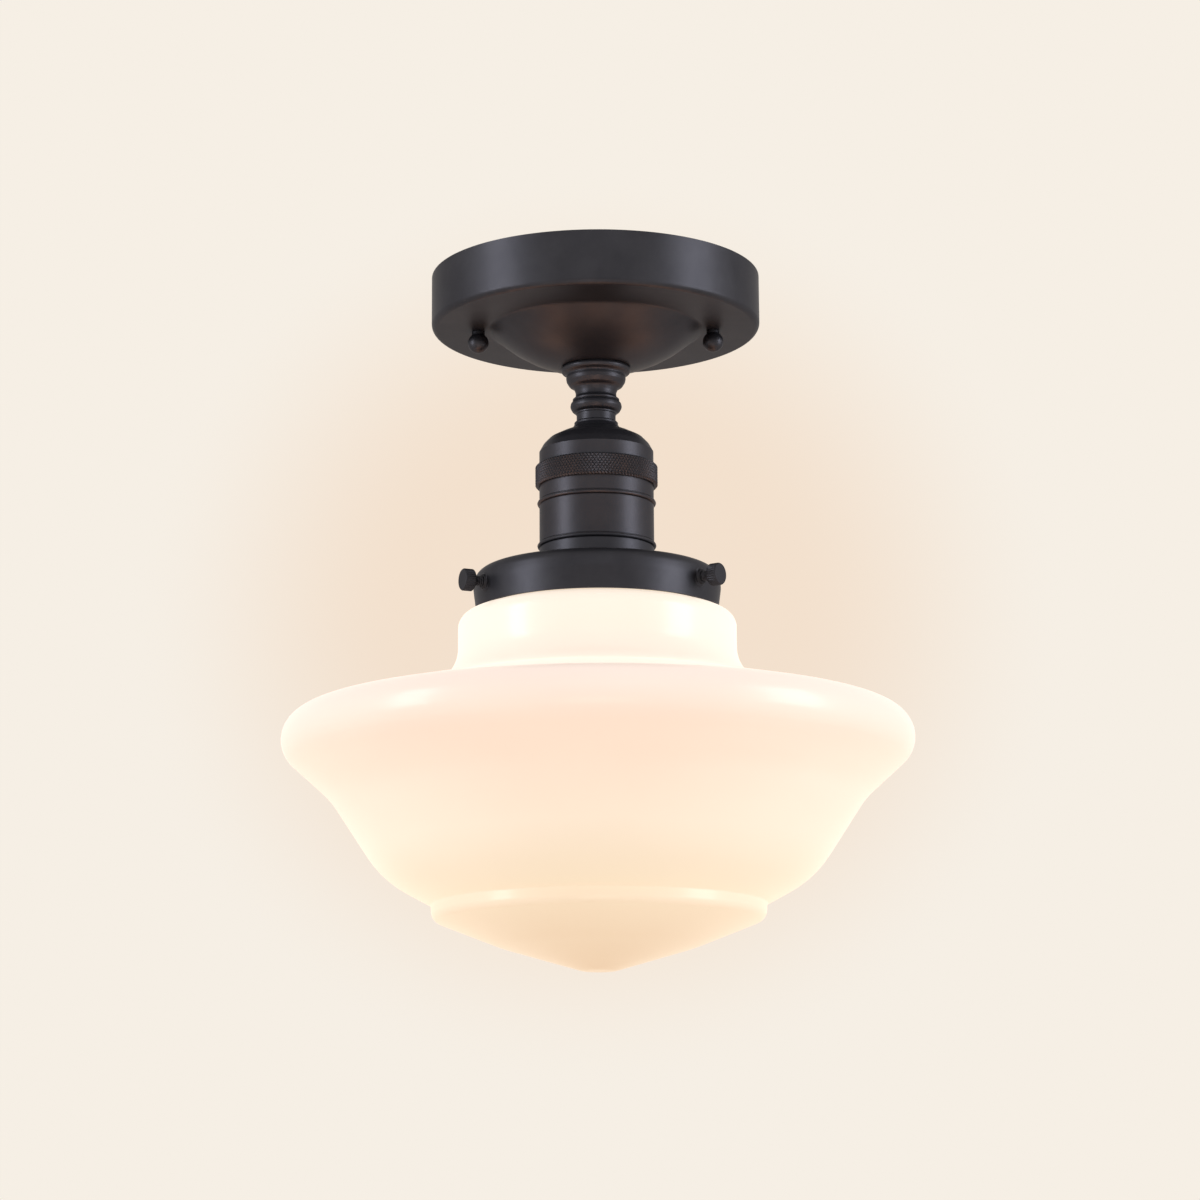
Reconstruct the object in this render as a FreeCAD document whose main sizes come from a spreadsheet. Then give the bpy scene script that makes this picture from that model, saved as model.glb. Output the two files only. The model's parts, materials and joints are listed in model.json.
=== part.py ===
"""Semi flush ceiling light: spun canopy on a cross bracket, turned stem, threaded
lampholder with a knurled union ring, three-screw shade holder and schoolhouse shade.

Frame: millimetres, +Z up. The origin is the middle of the ceiling plane, so the light
hangs below z = 0. The front of the light faces -Y.
"""
import FreeCAD, Part
import math
import os
from types import SimpleNamespace

import Sketcher
from FreeCAD import Placement, Rotation, Vector

# ---------------------------------------------------------------- driving sizes (mm)
DRIVING_SIZES = {
    # cross bracket that is screwed to the outlet box
    "bracket_thickness": 2.0,
    "bracket_width": 19.0,
    "stud_arm_length": 110.0,
    "box_arm_length": 98.0,
    "bracket_corner_radius": 3.0,
    "bracket_centre_hole_radius": 5.2,
    "box_slot_spacing": 79.4,
    "box_slot_length": 14.1,
    "box_slot_radius": 2.3,
    # ground screw on the stud arm
    "ground_screw_offset": 22.0,
    "ground_screw_radius": 2.3,
    "ground_head_flats": 8.0,
    "ground_head_height": 2.6,
    # canopy studs, their lock nuts and the ball knobs
    "stud_spacing": 94.3,
    "stud_radius": 2.05,
    "stud_nut_flats": 8.7,
    "stud_nut_height": 3.2,
    "knob_ball_radius": 4.15,
    "knob_ball_drop": 5.6,
    "knob_neck_radius": 2.6,
    "knob_bore_depth": 7.2,
    "stud_end_gap": 0.3,
    # canopy
    "canopy_radius": 65.8,
    "canopy_height": 21.5,
    "canopy_wall": 1.0,
    "canopy_edge_radius": 2.2,
    "dome_radius": 42.4,
    "dome_depth": 15.2,
    "dome_root_round": 3.0,
    "dome_seat_radius": 13.8,
    "dome_bulge_radius": 28.9,
    "dome_bulge_drop": 11.5,
    "dome_bulge_round": 55.0,
    # threaded nipple through the stem, with its washer, nut and bushing
    "nipple_radius": 5.0,
    "nipple_bore_radius": 3.6,
    "nipple_rise": 2.4,
    "nipple_reach": 0.9,
    "washer_radius": 9.0,
    "washer_thickness": 0.9,
    "lock_nut_flats": 15.8,
    "lock_nut_height": 3.8,
    "bushing_radius": 6.6,
    "bushing_height": 2.6,
    "bushing_top": 0.8,
    "bushing_bore_radius": 3.2,
    # turned stem
    "stem_collar_radius": 13.5,
    "stem_collar_height": 2.4,
    "stem_collar_round": 1.1,
    "stem_barrel_radius": 11.85,
    "stem_barrel_height": 5.4,
    "stem_barrel_round": 2.25,
    "stem_cove_radius": 7.95,
    "stem_cove_height": 5.5,
    "stem_cove_round": 2.3,
    "stem_fillet_radius": 9.4,
    "stem_fillet_height": 0.8,
    "stem_torus_radius": 10.35,
    "stem_torus_height": 5.0,
    "stem_torus_round": 2.25,
    "stem_neck_radius": 7.65,
    "stem_neck_height": 3.5,
    # socket cap
    "cap_ring_radius": 8.7,
    "cap_ring_height": 1.3,
    "cap_ring_round": 0.6,
    "cap_dome_height": 11.1,
    "cap_cove_drop": 1.9,
    "cap_cove_round": 1.8,
    "cap_brow_radius": 19.3,
    "cap_brow_rise": 5.3,
    "cap_brow_round": 8.0,
    "cap_hollow_rise": 3.3,
    "cap_band_height": 5.6,
    "cap_hub_radius": 8.2,
    "cap_hub_depth": 6.0,
    "cap_skirt_height": 5.9,
    "cap_skirt_radius": 21.85,
    "cap_skirt_wall": 1.6,
    # knurled union ring
    "ring_radius": 24.4,
    "ring_height": 8.6,
    "ring_lip_height": 1.6,
    "ring_chamfer": 0.6,
    # socket shell
    "shell_radius": 22.75,
    "shell_wall": 0.8,
    "shell_flange_radius": 23.4,
    "shell_flange_height": 1.0,
    "shell_height": 32.5,
    "shell_lip_radius": 19.0,
    "bead_radius": 23.65,
    "bead_width": 1.7,
    "bead_round": 0.7,
    "upper_bead_drop": 9.8,
    "lower_bead_drop": 27.1,
    # porcelain lampholder and what it carries
    "holder_body_radius": 21.6,
    "holder_body_height": 30.3,
    "holder_nose_radius": 18.6,
    "holder_nose_length": 11.2,
    "socket_bore_radius": 13.9,
    "socket_bore_depth": 28.8,
    "screw_shell_wall": 0.4,
    "screw_shell_height": 25.5,
    "screw_shell_mouth_radius": 8.0,
    "contact_radius": 4.2,
    "contact_thickness": 0.8,
    "rivet_radius": 1.5,
    "terminal_offset": 12.5,
    "terminal_width": 6.0,
    "terminal_thickness": 0.8,
    "terminal_head_radius": 3.2,
    "terminal_head_height": 2.0,
    "terminal_head_round": 0.5,
    "terminal_screw_length": 7.0,
    # shade holder and its lock ring
    "fitter_radius": 48.9,
    "fitter_height": 20.7,
    "fitter_wall": 1.2,
    "fitter_boss_radius": 24.0,
    "fitter_boss_round": 2.4,
    "fitter_shoulder_radius": 48.2,
    "fitter_shoulder_drop": 5.4,
    "fitter_shoulder_round": 3.6,
    "fitter_belly_drop": 11.0,
    "fitter_belly_round": 20.7,
    "fitter_rim_radius": 47.8,
    "lock_ring_radius": 23.6,
    "lock_ring_height": 4.6,
    # thumb screws
    "screw_drop": 12.5,
    "screw_radius": 2.05,
    "screw_collar_radius": 2.9,
    "screw_collar_rise": 1.1,
    "screw_collar_root": 0.95,
    "screw_head_back": 53.6,
    "screw_head_radius": 4.35,
    "screw_head_length": 4.3,
    "screw_head_chamfer": 0.4,
    # glass shade: each drop is measured from the level above it, from the neck's foot down
    "glass_wall": 3.2,
    "lip_radius": 41.3,
    "lip_height": 3.6,
    "lip_round": 1.4,
    "neck_radius": 38.9,
    "neck_foot_drop": 15.7,
    "neck_foot_round": 3.85,
    "shoulder_radius": 54.9,
    "shoulder_drop": 2.5,
    "shoulder_round": 7.0,
    "gallery_drop": 25.0,
    "gallery_round": 16.0,
    "brow_radius": 135.6,
    "brow_drop": 18.5,
    "brow_round": 10.8,
    "waist_radius": 105.0,
    "waist_drop": 27.7,
    "waist_round": 35.0,
    "hip_radius": 84.5,
    "hip_drop": 31.3,
    "hip_round": 40.0,
    "step_radius": 65.3,
    "step_drop": 10.5,
    "step_round": 0.95,
    "band_radius": 64.8,
    "band_drop": 5.5,
    "band_round": 3.8,
    "cone_radius": 38.0,
    "cone_drop": 10.6,
    "cone_round": 80.0,
    "nose_radius": 6.0,
    "nose_drop": 9.6,
    "nose_round": 12.0,
    # bulb
    "bulb_tip_gap": 0.1,
    "bulb_contact_radius": 4.8,
    "bulb_contact_face": 2.9,
    "bulb_contact_height": 1.0,
    "bulb_insulator_height": 2.8,
    "bulb_thread_radius": 13.2,
    "bulb_cap_height": 21.6,
    "bulb_cap_wall": 0.4,
    "bulb_neck_radius": 15.2,
    "bulb_neck_drop": 13.9,
    "bulb_neck_round": 30.0,
    "bulb_radius": 30.0,
    "bulb_cheek_drop": 37.9,
    "bulb_cheek_round": 24.0,
    "bulb_length": 107.4,
    "bulb_end_round": 29.7,
    "bulb_wall": 1.0,
    # leads and wire nuts
    "lead_radius": 1.1,
    "lead_offset": 1.9,
    "lead_level": 13.0,
    "lead_bend": 8.0,
    "ground_lead_bend": 4.8,
    "lead_reach": 30.0,
    "wire_nut_radius": 5.4,
    "wire_nut_length": 17.0,
    "wire_nut_tip_radius": 3.0,
    "wire_nut_round": 0.8,
    "wire_nut_tip_round": 1.2,
    "wire_nut_bore": 9.0,
    "wire_end_gap": 0.5,
    "ground_nut_x": 31.0,
    # clearances
    "slip": 0.1,
    "seat": 0.05,
}
SCREW_AZIMUTHS = {"left": -154.5, "right": -34.5, "rear": 85.5}

doc = FreeCAD.newDocument("SemiFlushLight")
sheet = doc.addObject("Spreadsheet::Sheet", "Sizes")
for row, (alias, value) in enumerate(DRIVING_SIZES.items(), start=1):
    sheet.set("A%d" % row, alias)
    sheet.set("B%d" % row, str(value))
    sheet.setAlias("B%d" % row, alias)
doc.recompute()


class Size:
    """A length with the sheet formula that gives it."""

    def __init__(self, value, formula):
        self.value = float(value)
        self.formula = formula

    def __add__(self, other):
        other = as_size(other)
        return Size(self.value + other.value, "(%s + %s)" % (self.formula, other.formula))

    def __sub__(self, other):
        other = as_size(other)
        return Size(self.value - other.value, "(%s - %s)" % (self.formula, other.formula))

    def __mul__(self, factor):
        return Size(self.value * factor, "(%s * %.9g)" % (self.formula, factor))

    def __truediv__(self, divisor):
        return self * (1.0 / divisor)

    def __neg__(self):
        return self * -1.0


def as_size(value):
    """Turn a plain number into a Size."""
    return value if isinstance(value, Size) else Size(value, "%.9g" % value)


dim = SimpleNamespace(**{name: Size(sheet.get(name), "Sizes." + name) for name in DRIVING_SIZES})
ZERO = as_size(0.0)
SUB_PARTS = []


def as_zero(value):
    """Turn a plain 0 into the shared zero size and leave a Size as it is."""
    return value if isinstance(value, Size) else ZERO


# ---------------------------------------------------------------- modelling helpers
def place(sub_part, x=ZERO, y=ZERO, z=ZERO, rotation=Rotation()):
    """Put a finished sub-part in the light and bind its place to the sheet."""
    sub_part.Placement = Placement(Vector(x.value, y.value, z.value), rotation)
    for axis, size in (("x", x), ("y", y), ("z", z)):
        if size is not ZERO:
            sub_part.setExpression("Placement.Base." + axis, size.formula)
    SUB_PARTS.append(sub_part)
    return sub_part


def new_body(name):
    """Start a sub-part that is built with sketches and features."""
    body = doc.addObject("PartDesign::Body", name)
    body.Label = name
    return body


def new_sketch(body, name, role):
    """Attach a sketch to one of the body's own origin planes."""
    sketch = body.newObject("Sketcher::SketchObject", name)
    plane = [item for item in body.Origin.OriginFeatures if item.Role == role][0]
    sketch.AttachmentSupport = [(plane, "")]
    sketch.MapMode = "FlatFace"
    return sketch


def bind(sketch, kind, first, first_point, second, second_point, size):
    """Add a distance constraint that follows the sheet."""
    number = sketch.addConstraint(
        Sketcher.Constraint(kind, first, first_point, second, second_point, size.value))
    sketch.setExpression("Constraints[%d]" % number, size.formula)


def pin_point(sketch, geometry, point, x, y):
    """Fix a sketch point at two sizes measured from the sketch's origin."""
    if x is ZERO:
        sketch.addConstraint(Sketcher.Constraint("PointOnObject", geometry, point, -2))
    else:
        bind(sketch, "DistanceX", -1, 1, geometry, point, x)
    if y is ZERO:
        sketch.addConstraint(Sketcher.Constraint("PointOnObject", geometry, point, -1))
    else:
        bind(sketch, "DistanceY", -1, 1, geometry, point, y)


def corner_arc(before, corner, after, radius):
    """Return the arc that rounds a corner, with its two tangent points."""
    towards = (before - corner).normalize()
    away = (after - corner).normalize()
    half_angle = towards.getAngle(away) / 2
    cut = radius / math.tan(half_angle)
    start = corner + towards * cut
    end = corner + away * cut
    centre = corner + (towards + away).normalize() * (radius / math.sin(half_angle))
    middle = centre + (corner - centre).normalize() * radius
    return start, end, Part.Arc(start, middle, end)


def draw_outline(sketch, corners):
    """Draw a closed outline of straight sides with rounded corners.

    Each corner is (x, y) or (x, y, rounding), and every size is bound to the sheet.
    """
    corners = [(as_zero(c[0]), as_zero(c[1]), c[2] if len(c) > 2 else None) for c in corners]
    points = [Vector(x.value, y.value, 0) for x, y, _ in corners]
    count = len(corners)
    arcs = [None] * count
    for i, (_, _, rounding) in enumerate(corners):
        if rounding is not None:
            arcs[i] = corner_arc(points[i - 1], points[i], points[(i + 1) % count], rounding.value)
    sides = []
    for i in range(count):
        following = (i + 1) % count
        start = arcs[i][1] if arcs[i] else points[i]
        end = arcs[following][0] if arcs[following] else points[following]
        sides.append(sketch.addGeometry(Part.LineSegment(start, end), False))
    for i, (x, y, rounding) in enumerate(corners):
        side_in, side_out = sides[i - 1], sides[i]
        if rounding is None:
            sketch.addConstraint(Sketcher.Constraint("Coincident", side_in, 2, side_out, 1))
            pin_point(sketch, side_out, 1, x, y)
            continue
        mark = sketch.addGeometry(Part.Point(points[i]), True)
        pin_point(sketch, mark, 1, x, y)
        sketch.addConstraint(Sketcher.Constraint("PointOnObject", mark, 1, side_in))
        sketch.addConstraint(Sketcher.Constraint("PointOnObject", mark, 1, side_out))
        arc = sketch.addGeometry(arcs[i][2], False)
        start_point = 1 if sketch.getPoint(arc, 1).isEqual(arcs[i][0], 1e-6) else 2
        sketch.addConstraint(Sketcher.Constraint("Tangent", side_in, 2, arc, start_point))
        sketch.addConstraint(Sketcher.Constraint("Tangent", side_out, 1, arc, 3 - start_point))
        number = sketch.addConstraint(Sketcher.Constraint("Radius", arc, rounding.value))
        sketch.setExpression("Constraints[%d]" % number, rounding.formula)


def turned(name, corners, level):
    """Revolve an outline of (radius, height) corners about the light's axis."""
    body = new_body(name)
    sketch = new_sketch(body, name + "_outline", "XZ_Plane")
    draw_outline(sketch, corners)
    turn = body.newObject("PartDesign::Revolution", name + "_turn")
    turn.Profile = sketch
    turn.ReferenceAxis = (sketch, ["V_Axis"])
    turn.Angle = 360
    place(body, z=level)
    return body


def tube_corners(outer, inner, height, top=ZERO):
    """Outline of a plain tube that starts at top and goes down."""
    return [(inner, top), (outer, top), (outer, top - height), (inner, top - height)]


def inside_of(corners, wall):
    """Corners of the inner side of a wall whose outer side has these corners.

    The outer corners run from the top of the wall down to its foot. Each inner corner lies
    on the mitre of its outer one, and a rounding keeps its centre.
    """
    points = [Vector(as_zero(c[0]).value, as_zero(c[1]).value, 0) for c in corners]
    inner = []
    for i, corner in enumerate(corners):
        before = (points[i] - points[i - 1]).normalize() if i else None
        after = (points[i + 1] - points[i]).normalize() if i + 1 < len(points) else None
        before = before or after
        after = after or before
        normal_before = Vector(before.y, -before.x, 0)
        normal_after = Vector(after.y, -after.x, 0)
        mitre = (normal_before + normal_after) / (1 + normal_before.dot(normal_after))
        if corner[0] is ZERO:
            mitre = Vector(0, 1 / normal_before.y, 0)
        x = corner[0] + wall * mitre.x if abs(mitre.x) > 1e-9 else corner[0]
        y = corner[1] + wall * mitre.y if abs(mitre.y) > 1e-9 else corner[1]
        if len(corner) > 2:
            turns_in = before.cross(after).z < 0
            inner.append((x, y, corner[2] - wall if turns_in else corner[2] + wall))
        else:
            inner.append((x, y))
    return inner


def add_circle(sketch, x, y, radius):
    """Draw one circle whose centre and radius follow the sheet."""
    centre = Vector(as_zero(x).value, as_zero(y).value, 0)
    circle = sketch.addGeometry(Part.Circle(centre, Vector(0, 0, 1), radius.value), False)
    pin_point(sketch, circle, 3, as_zero(x), as_zero(y))
    number = sketch.addConstraint(Sketcher.Constraint("Radius", circle, radius.value))
    sketch.setExpression("Constraints[%d]" % number, radius.formula)


def pocket_circles(body, name, role, circles, reverse=False):
    """Cut round holes, given as (x, y, radius), right through a body."""
    sketch = new_sketch(body, name + "_sketch", role)
    for x, y, radius in circles:
        add_circle(sketch, x, y, radius)
    pocket = body.newObject("PartDesign::Pocket", name)
    pocket.Profile = sketch
    pocket.Type = "ThroughAll"
    pocket.Reversed = reverse
    doc.recompute()
    return pocket


def rectangle_corners(width, depth, x=ZERO, y=ZERO):
    """Corners of a rectangle centred at x, y."""
    half_width, half_depth = width / 2, depth / 2
    return [(x - half_width, y - half_depth), (x + half_width, y - half_depth),
            (x + half_width, y + half_depth), (x - half_width, y + half_depth)]


def pad(body, name, role, corners, thickness, reverse=False):
    """Pad an outline by a thickness."""
    sketch = new_sketch(body, name + "_sketch", role)
    draw_outline(sketch, corners)
    feature = body.newObject("PartDesign::Pad", name)
    feature.Profile = sketch
    feature.setExpression("Length", thickness.formula)
    feature.Reversed = reverse
    return feature


def hexagon_corners(flats):
    """Corners of a hexagon with its flats this far apart."""
    corner_radius = flats / math.sqrt(3)
    corners = []
    for i in range(6):
        angle = math.radians(60 * i)
        x = corner_radius * round(math.cos(angle), 12)
        y = corner_radius * math.sin(angle) if i % 3 else ZERO
        corners.append((x, y))
    return corners


def hexagon_nut(name, flats, bore_radius, height, x, top):
    """A plain hexagon nut that hangs down from top."""
    body = new_body(name)
    pad(body, name + "_blank", "XY_Plane", hexagon_corners(flats), height, reverse=True)
    doc.recompute()
    pocket_circles(body, name + "_bore", "XY_Plane", [(ZERO, ZERO, bore_radius)])
    return place(body, x=x, z=top)


def cylinder(name, radius, height):
    """A plain round bar as a primitive, bound to the sheet."""
    bar = doc.addObject("Part::Cylinder", name)
    bar.setExpression("Radius", radius.formula)
    bar.setExpression("Height", height.formula)
    return bar


def pair(name, make, offset):
    """Two equal solids at plus and minus an offset along X, kept as one sub-part."""
    halves = [make(name + "_a", offset), make(name + "_b", -offset)]
    for half in halves:
        SUB_PARTS.remove(half)
    both = doc.addObject("Part::Compound", name)
    both.Links = halves
    both.Label = name
    return place(both)


def route(points, bend):
    """A wire path of straight runs joined by tangent arcs of one radius."""
    edges = []
    start = points[0]
    for i in range(1, len(points) - 1):
        arc_start, arc_end, arc = corner_arc(points[i - 1], points[i], points[i + 1], bend)
        edges.append(Part.LineSegment(start, arc_start).toShape())
        edges.append(arc.toShape())
        start = arc_end
    edges.append(Part.LineSegment(start, points[-1]).toShape())
    return Part.Wire(edges)


def lead(name, points, bend):
    """An insulated lead along a route, checked against its section times its length."""
    path = route(points, bend)
    radius = dim.lead_radius.value
    heading = (points[1] - points[0]).normalize()
    section = Part.Wire(Part.Circle(points[0], heading, radius).toShape())
    shape = path.makePipeShell([section], True, False)
    expected = math.pi * radius ** 2 * path.Length
    if abs(shape.Volume / expected - 1) > 0.01:
        raise ValueError("%s: volume %.1f, expected %.1f" % (name, shape.Volume, expected))
    sub_part = doc.addObject("Part::Feature", name)
    sub_part.Shape = shape
    sub_part.Label = name
    return place(sub_part)


# ---------------------------------------------------------------- levels below the ceiling
seat_level = dim.canopy_height + dim.dome_depth
stem_height = (dim.stem_collar_height + dim.stem_barrel_height + dim.stem_cove_height
               + dim.stem_fillet_height + dim.stem_torus_height + dim.stem_neck_height)
cap_level = seat_level + stem_height
band_level = cap_level + dim.cap_ring_height + dim.cap_dome_height
ring_level = band_level + dim.cap_band_height + dim.slip
skirt_end = ring_level - dim.slip + dim.cap_skirt_height
shell_level = skirt_end + dim.slip
shell_end = shell_level + dim.shell_height
body_foot = shell_end - dim.shell_wall
body_level = body_foot - dim.holder_body_height
nose_end = body_foot + dim.holder_nose_length
fitter_level = shell_end + dim.seat
lock_ring_level = fitter_level + dim.fitter_wall + dim.seat
screw_level = fitter_level + dim.screw_drop
glass_level = screw_level - dim.screw_radius - dim.slip - dim.lip_height - dim.lip_round
washer_level = seat_level - dim.canopy_wall - dim.washer_thickness
lock_nut_level = washer_level - dim.lock_nut_height
nipple_level = lock_nut_level - dim.nipple_rise


# ---------------------------------------------------------------- ceiling bracket
def make_cross_bracket():
    """Stamped cross: one arm holds the canopy studs, the other is slotted for the box."""
    body = new_body("cross_bracket")
    pad(body, "stud_arm", "XY_Plane", rectangle_corners(dim.stud_arm_length, dim.bracket_width),
        dim.bracket_thickness, reverse=True)
    pad(body, "box_arm", "XY_Plane", rectangle_corners(dim.bracket_width, dim.box_arm_length),
        dim.bracket_thickness, reverse=True)
    doc.recompute()
    half_stud_spacing = dim.stud_spacing / 2
    stud_hole = dim.stud_radius + dim.seat
    pocket_circles(body, "bracket_holes", "XY_Plane", [
        (ZERO, ZERO, dim.bracket_centre_hole_radius),
        (half_stud_spacing, ZERO, stud_hole),
        (-half_stud_spacing, ZERO, stud_hole),
        (dim.ground_screw_offset, ZERO, dim.ground_screw_radius + dim.seat)])
    slot_run = dim.box_slot_length - dim.box_slot_radius * 2
    for side in (1, -1):
        slot = new_sketch(body, "slot_sketch_%s" % ("front" if side < 0 else "back"), "XY_Plane")
        middle = dim.box_slot_spacing * (0.5 * side)
        draw_slot(slot, middle, slot_run, dim.box_slot_radius)
        cut = body.newObject("PartDesign::Pocket", "slot_%s" % ("front" if side < 0 else "back"))
        cut.Profile = slot
        cut.Type = "ThroughAll"
        doc.recompute()
    blank = body.Tip
    rounding = body.newObject("PartDesign::Fillet", "bracket_corners")
    rounding.Base = (blank, outer_corner_edges(blank.Shape, dim.bracket_width.value / 2))
    rounding.setExpression("Radius", dim.bracket_corner_radius.formula)
    place(body)


def draw_slot(sketch, middle, run, radius):
    """Draw a round-ended slot that runs along the sketch's Y."""
    low, high = middle - run / 2, middle + run / 2
    left = sketch.addGeometry(Part.LineSegment(
        Vector(-radius.value, high.value, 0), Vector(-radius.value, low.value, 0)), False)
    right = sketch.addGeometry(Part.LineSegment(
        Vector(radius.value, low.value, 0), Vector(radius.value, high.value, 0)), False)
    pin_point(sketch, left, 1, -radius, high)
    pin_point(sketch, left, 2, -radius, low)
    pin_point(sketch, right, 1, radius, low)
    pin_point(sketch, right, 2, radius, high)
    for centre, first, last, start in ((low, (left, 2), (right, 1), math.pi),
                                       (high, (right, 2), (left, 1), 0.0)):
        circle = Part.Circle(Vector(0, centre.value, 0), Vector(0, 0, 1), radius.value)
        arc = sketch.addGeometry(Part.ArcOfCircle(circle, start, start + math.pi), False)
        sketch.addConstraint(Sketcher.Constraint("Coincident", arc, 1, *first))
        sketch.addConstraint(Sketcher.Constraint("Coincident", arc, 2, *last))
        bind(sketch, "DistanceY", -1, 1, arc, 3, centre)


def outer_corner_edges(shape, half_width):
    """Names of the upright edges at the four arms' tips."""
    names = []
    for number, edge in enumerate(shape.Edges, start=1):
        if len(edge.Vertexes) != 2:
            continue
        low, high = edge.Vertexes[0].Point, edge.Vertexes[1].Point
        upright = abs(low.x - high.x) < 1e-6 and abs(low.y - high.y) < 1e-6
        at_tip = max(abs(low.x), abs(low.y)) > half_width + 1
        on_side = abs(min(abs(low.x), abs(low.y)) - half_width) < 1e-6
        if upright and at_tip and on_side:
            names.append("Edge%d" % number)
    return names


def make_ground_screw():
    """Hexagon-head grounding screw, driven up into the stud arm."""
    body = new_body("ground_screw")
    pad(body, "ground_head", "XY_Plane", hexagon_corners(dim.ground_head_flats),
        dim.ground_head_height, reverse=True)
    sketch = new_sketch(body, "ground_shank_sketch", "XY_Plane")
    add_circle(sketch, ZERO, ZERO, dim.ground_screw_radius)
    shank = body.newObject("PartDesign::Pad", "ground_shank")
    shank.Profile = sketch
    shank.setExpression("Length", (dim.bracket_thickness - dim.slip).formula)
    place(body, x=dim.ground_screw_offset, z=-dim.bracket_thickness)


def make_stud(name, x):
    """One threaded stud that holds the canopy up."""
    end_level = dim.canopy_height + dim.knob_bore_depth - dim.stud_end_gap
    stud = cylinder(name, dim.stud_radius, end_level - dim.slip)
    return place(stud, x=x, z=-end_level)


def make_stud_nut(name, x):
    """One lock nut under the bracket."""
    return hexagon_nut(name, dim.stud_nut_flats, dim.stud_radius + dim.seat,
                       dim.stud_nut_height, x, -dim.bracket_thickness)


def make_canopy_knob(name, x):
    """Ball knob with a short neck, tapped from above for the stud."""
    ball = doc.addObject("Part::Sphere", name + "_ball")
    ball.setExpression("Radius", dim.knob_ball_radius.formula)
    neck = cylinder(name + "_neck", dim.knob_neck_radius, dim.knob_ball_drop)
    outside = doc.addObject("Part::Fuse", name + "_outside")
    outside.Base, outside.Tool = ball, neck
    bore = cylinder(name + "_bore", dim.stud_radius + dim.seat, dim.knob_bore_depth)
    bore.setExpression("Placement.Base.z", (dim.knob_ball_drop - dim.knob_bore_depth).formula)
    knob = doc.addObject("Part::Cut", name)
    knob.Base, knob.Tool = outside, bore
    knob.Label = name
    place(knob, x=x, z=-(dim.canopy_height + dim.seat + dim.knob_ball_drop))


# ---------------------------------------------------------------- canopy, nipple, stem
def make_canopy():
    """Spun pan with a dished middle that swells down to the stem's seat."""
    pan = -dim.canopy_height
    outside = [
        (dim.canopy_radius, ZERO),
        (dim.canopy_radius, pan, dim.canopy_edge_radius),
        (dim.dome_radius, pan, dim.dome_root_round),
        (dim.dome_bulge_radius, pan - dim.dome_bulge_drop, dim.dome_bulge_round),
        (dim.dome_seat_radius, -seat_level),
        (dim.nipple_radius + dim.slip, -seat_level),
    ]
    inside = inside_of(outside, dim.canopy_wall)
    body = turned("canopy", outside + inside[::-1], ZERO)
    doc.recompute()
    half_spacing = dim.stud_spacing / 2
    hole = dim.knob_neck_radius - dim.slip * 2
    pocket_circles(body, "stud_holes", "XY_Plane",
                   [(half_spacing, ZERO, hole), (-half_spacing, ZERO, hole)])


def make_nipple_parts():
    """Threaded tube with its toothed washer, lock nut and insulating bushing."""
    nipple_end = cap_level + dim.cap_hub_depth + dim.nipple_reach
    turned("threaded_nipple",
           tube_corners(dim.nipple_radius, dim.nipple_bore_radius, nipple_end - nipple_level),
           -nipple_level)
    bore = dim.nipple_radius + dim.seat
    turned("lock_washer", tube_corners(dim.washer_radius, bore, dim.washer_thickness),
           -washer_level)
    hexagon_nut("nipple_lock_nut", dim.lock_nut_flats, bore, dim.lock_nut_height,
                ZERO, -lock_nut_level)
    turned("wire_bushing", [
        (dim.bushing_bore_radius, ZERO),
        (dim.bushing_radius, ZERO, dim.bushing_top),
        (dim.bushing_radius, -dim.bushing_height),
        (bore, -dim.bushing_height),
        (bore, -dim.bushing_top),
        (dim.bushing_bore_radius, -dim.bushing_top),
    ], -(nipple_level - dim.bushing_top - dim.seat))


def make_turned_stem():
    """Turned stem: collar, barrel, cove, torus and neck over the threaded nipple."""
    bore = dim.nipple_radius + dim.slip
    collar_foot = -dim.stem_collar_height
    barrel_foot = collar_foot - dim.stem_barrel_height
    cove_foot = barrel_foot - dim.stem_cove_height
    fillet_foot = cove_foot - dim.stem_fillet_height
    torus_foot = fillet_foot - dim.stem_torus_height
    neck_foot = torus_foot - dim.stem_neck_height
    collar_round = dim.stem_collar_round
    turned("turned_stem", [
        (bore, ZERO),
        (dim.stem_collar_radius, ZERO, collar_round),
        (dim.stem_collar_radius, collar_foot, collar_round),
        (dim.stem_barrel_radius - collar_round, collar_foot),
        (dim.stem_barrel_radius, collar_foot - collar_round / 2, collar_round / 2),
        (dim.stem_barrel_radius, barrel_foot, dim.stem_barrel_round),
        (dim.stem_fillet_radius, barrel_foot),
        (dim.stem_cove_radius, barrel_foot, dim.stem_cove_round),
        (dim.stem_cove_radius, cove_foot, dim.stem_cove_round),
        (dim.stem_fillet_radius, cove_foot),
        (dim.stem_fillet_radius, fillet_foot),
        (dim.stem_torus_radius, fillet_foot, dim.stem_torus_round),
        (dim.stem_torus_radius, torus_foot, dim.stem_torus_round),
        (dim.stem_neck_radius, torus_foot),
        (dim.stem_neck_radius, neck_foot),
        (bore, neck_foot),
    ], -seat_level)


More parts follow.
